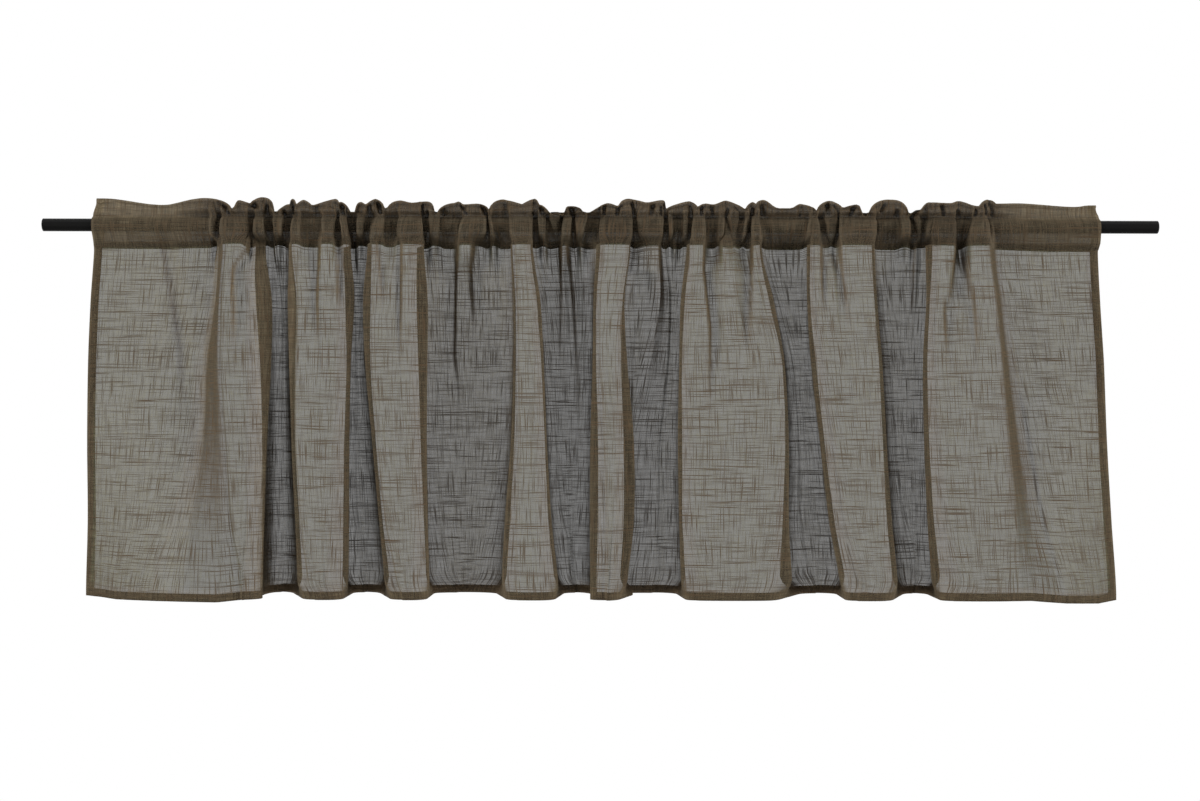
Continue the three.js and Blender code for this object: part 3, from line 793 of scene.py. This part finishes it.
pocket_tones = [heading_tone_at(lower_seam + (upper_seam - lower_seam) * t) for t in pocket_t]
ruffle_tones = [heading_tone_at(upper_seam + ruffle_height * k / ruffle_steps)
                for k in range(ruffle_steps + 1)]
heading_tone = [pocket_tones[0]] * len(turned_in) + pocket_tones + ruffle_tones
heading_tone = np.array(heading_tone + ruffle_tones[::-1] + pocket_tones[::-1])
tone = np.concatenate([heading_tone, body_tone, turned_tone])
side_hem = (across < hem_width) | (across > across[-1] - hem_width)
tone[len(heading_tone):, side_hem] = hem_tone
turned_threads = len(inset)
tone = np.pad(tone[:, kept], ((0, 0), (turned_threads, turned_threads), (0, 0)), "edge")

# in_recess says how far the weave is closed up, which paints shade: 1 where the cloth lies back, and 4 more
# in the creases.
in_recess = np.zeros(cloth_grid.shape[:2])
in_recess[len(heading_tone):-len(turned)] = behind[..., 0] + 4 * creased[..., 0]
in_recess = np.pad(in_recess[:, kept], ((0, 0), (turned_threads, turned_threads)))
cloth_grid = np.concatenate([left, cloth_grid[:, kept], right], 1)
across = np.concatenate([-folded[::-1], across[kept], across[-1] + folded])


def cloth_object(name, grid, across, down):
    """A sheet of quads with a cloth UV map that holds metres of cut cloth."""
    rows, columns = grid.shape[:2]
    number = np.arange(rows * columns).reshape(rows, columns)
    quads = np.stack([number[:-1, :-1], number[1:, :-1], number[1:, 1:], number[:-1, 1:]], -1)
    quads = quads.reshape(-1, 4)
    mesh = bpy.data.meshes.new(name)
    mesh.from_pydata(grid.reshape(-1, 3).tolist(), [], quads.tolist())
    places = np.stack(np.meshgrid(across, -down), -1).reshape(-1, 2)
    cloth_map = mesh.uv_layers.new(name="cloth")
    cloth_map.data.foreach_set("uv", places[quads.reshape(-1)].reshape(-1).astype(np.float32))
    mesh.shade_smooth()
    made = bpy.data.objects.new(name, mesh)
    bpy.context.scene.collection.objects.link(made)
    return made


valance = cloth_object("valance_voile", cloth_grid, across, down)
for name, kind, field, values in (("tone", "FLOAT_VECTOR", "vector", tone),
                                  ("in_recess", "FLOAT", "value", in_recess)):
    attribute = valance.data.attributes.new(name, kind, "POINT")
    attribute.data.foreach_set(field, values.reshape(-1).astype(np.float32))
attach(valance, "root")
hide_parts("valance_cloth")


class Shade:
    """An output of a material's nodes. Sums and products of it add Math nodes to the same material."""

    def __init__(self, tree, socket):
        self.tree, self.socket = tree, socket

    def node(self, kind, settings=None, inputs=None, output=0):
        """A new node of this kind with its settings and then its sockets set, as a Shade of one output."""
        made = self.tree.nodes.new(kind)
        for name, value in (settings or {}).items():
            setattr(made, name, value)
        for name, value in (inputs or {}).items():
            if isinstance(value, Shade):
                self.tree.links.new(value.socket, made.inputs[name])
            else:
                made.inputs[name].default_value = value
        return Shade(self.tree, made.outputs[output])

    def maths(self, operation, *values):
        return self.node("ShaderNodeMath", {"operation": operation}, dict(enumerate(values)))

    def __add__(self, other):
        return self.maths("ADD", self, other)

    def __sub__(self, other):
        return self.maths("SUBTRACT", self, other)

    def __rsub__(self, other):
        return self.maths("SUBTRACT", other, self)

    def __mul__(self, other):
        return self.maths("MULTIPLY", self, other)

    def __truediv__(self, other):
        return self.maths("DIVIDE", self, other)

    def __rtruediv__(self, other):
        return self.maths("DIVIDE", other, self)

    def __pow__(self, other):
        return self.maths("POWER", self, other)

    def __rpow__(self, other):
        return self.maths("POWER", other, self)

    __radd__, __rmul__ = __add__, __mul__


def socket_name(word):
    """The socket that a keyword stands for, such as Base Color for base_color."""
    return word.replace("_", " ").title().replace("Ior", "IOR")


def finish_named(name, **fixed):
    """A new material: its Principled shader, with the fixed values set, and a Shade to build from."""
    material = bpy.data.materials.new(name)
    material.use_nodes = True
    shader = material.node_tree.nodes["Principled BSDF"]
    for socket, value in fixed.items():
        shader.inputs[socket_name(socket)].default_value = value
    return material, shader, Shade(material.node_tree, None)


def feed(shader, **values):
    """Links Shades to the shader's sockets."""
    for name, value in values.items():
        value.tree.links.new(value.socket, shader.inputs[socket_name(name)])


voile, shader, shade = finish_named("slub_voile", roughness=0.85, specular_ior_level=0.1)
cloth_place = shade.node("ShaderNodeUVMap", {"uv_map": "cloth"})
u = shade.node("ShaderNodeSeparateXYZ", {}, {"Vector": cloth_place}, "X")
v = shade.node("ShaderNodeSeparateXYZ", {}, {"Vector": cloth_place}, "Y")


def streaks(length, width, seed, low, high):
    """Threads of about this length and width, in metres: noise drawn out along the cloth or across it."""
    drawn = {"X": u * (1 / length), "Y": v * (1 / width), "Z": seed}
    drawn = shade.node("ShaderNodeCombineXYZ", {}, drawn)
    noise = shade.node("ShaderNodeTexNoise", {}, {"Vector": drawn, "Scale": 1.0, "Detail": 1.0})
    reach = {"Value": noise, "From Min": low, "From Max": high}
    return shade.node("ShaderNodeMapRange", {"clamp": True}, reach)


weft_slubs = streaks(0.050, 0.00095, 1.3, 0.555, 0.71)
warp_slubs = streaks(0.00095, 0.040, 7.9, 0.545, 0.70)
weft_threads = streaks(0.022, 0.0010, 3.1, 0.25, 0.70)
warp_threads = streaks(0.0010, 0.022, 5.7, 0.25, 0.70)
slubs = shade.maths("MAXIMUM", weft_slubs, warp_slubs * 0.85)
closeness = slubs * 2.1 + (weft_threads + warp_threads) * 0.34

# Light passes through the holes of the weave. Seen at a slant the holes close up, as in a real voile.
# The weave is painted closed where the cloth lies back and in the creases: painted shade.
most_open, closed_in_recess = 0.243, 0.018
recess = shade.node("ShaderNodeAttribute", {"attribute_name": "in_recess"}, {}, "Fac")
open_share = (most_open - recess * closed_in_recess) * math.e ** (0 - closeness)
facing_away = shade.node("ShaderNodeLayerWeight", {}, {"Blend": 0.5}, "Facing")
toward = shade.maths("MAXIMUM", 1 - facing_away, 0.06)
open_seen = open_share ** shade.maths("MAXIMUM", 1 / toward - 0.07, 1)

thread_dark, thread_light = (0.044, 0.0355, 0.023, 1), (0.128, 0.1045, 0.0685, 1)
slub_brown = (0.084, 0.056, 0.032, 1)
threads_cross = {"Factor": weft_threads * warp_threads, 6: thread_dark, 7: thread_light}
plain = shade.node("ShaderNodeMix", {"data_type": "RGBA"}, threads_cross, 2)
tone_here = shade.node("ShaderNodeAttribute", {"attribute_name": "tone"}, {}, "Vector")
toned = shade.node("ShaderNodeVectorMath", {"operation": "MULTIPLY"}, {0: plain, 1: tone_here})
base = shade.node("ShaderNodeMix", {"data_type": "RGBA"}, {"Factor": slubs, 6: toned, 7: slub_brown}, 2)
raised = shade.node("ShaderNodeBump", {}, {"Strength": 0.35, "Distance": 0.0004, "Height": closeness})
feed(shader, base_color=base, alpha=1 - open_seen, normal=raised)
valance.data.materials.append(voile)

# ---- The rod -------------------------------------------------------------------------------------------
# A plain round curtain rod, a steel tube 16 mm across in satin black paint. It is cut square at both ends
# and pushed through the pocket.

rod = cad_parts["rod"]
rod_paint, shader, shade = finish_named("satin_black_paint", specular_ior_level=0.06)
rod_place = shade.node("ShaderNodeTexCoord", {}, {}, "Object")
speckle = shade.node("ShaderNodeTexNoise", {}, {"Vector": rod_place, "Scale": 900.0, "Detail": 2.0})
cloudy = shade.node("ShaderNodeTexNoise", {}, {"Vector": rod_place, "Scale": 30.0, "Detail": 2.0})
black, worn_black = (0.0045, 0.0045, 0.0045, 1), (0.0075, 0.0073, 0.0068, 1)
paint = shade.node("ShaderNodeMix", {"data_type": "RGBA"}, {"Factor": cloudy, 6: black, 7: worn_black}, 2)
raised = shade.node("ShaderNodeBump", {}, {"Strength": 0.15, "Distance": 0.0001, "Height": speckle})
feed(shader, base_color=paint, roughness=0.24 + speckle * 0.1, normal=raised)
rod.data.materials.clear()
rod.data.materials.append(rod_paint)

# ---- The studio ----------------------------------------------------------------------------------------
# A plain pale floor lies well below the valance. Two large soft lights stand in front at the sides, a weak
# long one hangs above, and an even light comes from all round. The camera looks at the valance square on,
# and the background shows white.

floor_mesh = bpy.data.meshes.new("floor")
floor_size, floor_z = 2.2, -1.5
corners = [(x * floor_size, y * floor_size, floor_z) for x, y in ((-1, -1), (1, -1), (1, 1), (-1, 1))]
floor_mesh.from_pydata(corners, [], [(0, 1, 2, 3)])
floor = bpy.data.objects.new("floor", floor_mesh)
bpy.context.scene.collection.objects.link(floor)
floor_paint, shader, shade = finish_named("pale_floor", roughness=0.8, base_color=(0.75, 0.75, 0.74, 1))
floor_mesh.materials.append(floor_paint)

world = bpy.data.worlds.new("studio")
bpy.context.scene.world = world
world.use_nodes = True
background = world.node_tree.nodes["Background"]
shade = Shade(world.node_tree, None)
rays = shade.node("ShaderNodeLightPath", {}, {}, "Is Camera Ray").socket.node.outputs
seen = Shade(world.node_tree, rays["Is Camera Ray"])
for name in ("Is Glossy Ray", "Is Transmission Ray"):
    seen = seen.maths("MAXIMUM", seen, Shade(world.node_tree, rays[name]))
all_round = 0.19
world.node_tree.links.new((seen * (1 - all_round) + all_round).socket, background.inputs["Strength"])
background.inputs["Color"].default_value = (1, 1, 1, 1)

lit_point = Vector((0, 0, -0.2))
for name, stands, size, watts in (("left_softbox", (-14, -4.8, 1.5), (8, 8), 2620),
                                  ("right_softbox", (14, -4.8, 1.5), (8, 8), 2620),
                                  ("top_softbox", (0, -0.9, 1.9), (3.4, 0.4), 14)):
    light = bpy.data.lights.new(name, "AREA")
    light.shape, light.energy = "RECTANGLE", watts
    light.size, light.size_y = size
    softbox = bpy.data.objects.new(name, light)
    softbox.location = stands
    aim = lit_point - Vector(stands)
    softbox.rotation_euler = aim.to_track_quat("-Z", "Y").to_euler()
    bpy.context.scene.collection.objects.link(softbox)

camera_data = bpy.data.cameras.new("camera")
camera = bpy.data.objects.new("camera", camera_data)
bpy.context.scene.collection.objects.link(camera)
view_width, view_height, view_roll = 1.5, -0.218, -0.13
camera_data.sensor_width = 36
camera_data.lens = camera_data.sensor_width * view_distance / view_width
camera.location = (0, -view_distance, view_height)
camera.rotation_mode = "XYZ"
camera.rotation_euler = (math.radians(90), math.radians(view_roll), 0)
bpy.context.scene.camera = camera
bpy.context.scene.view_settings.view_transform = "Standard"
bpy.context.scene.cycles.transparent_max_bounces = 24
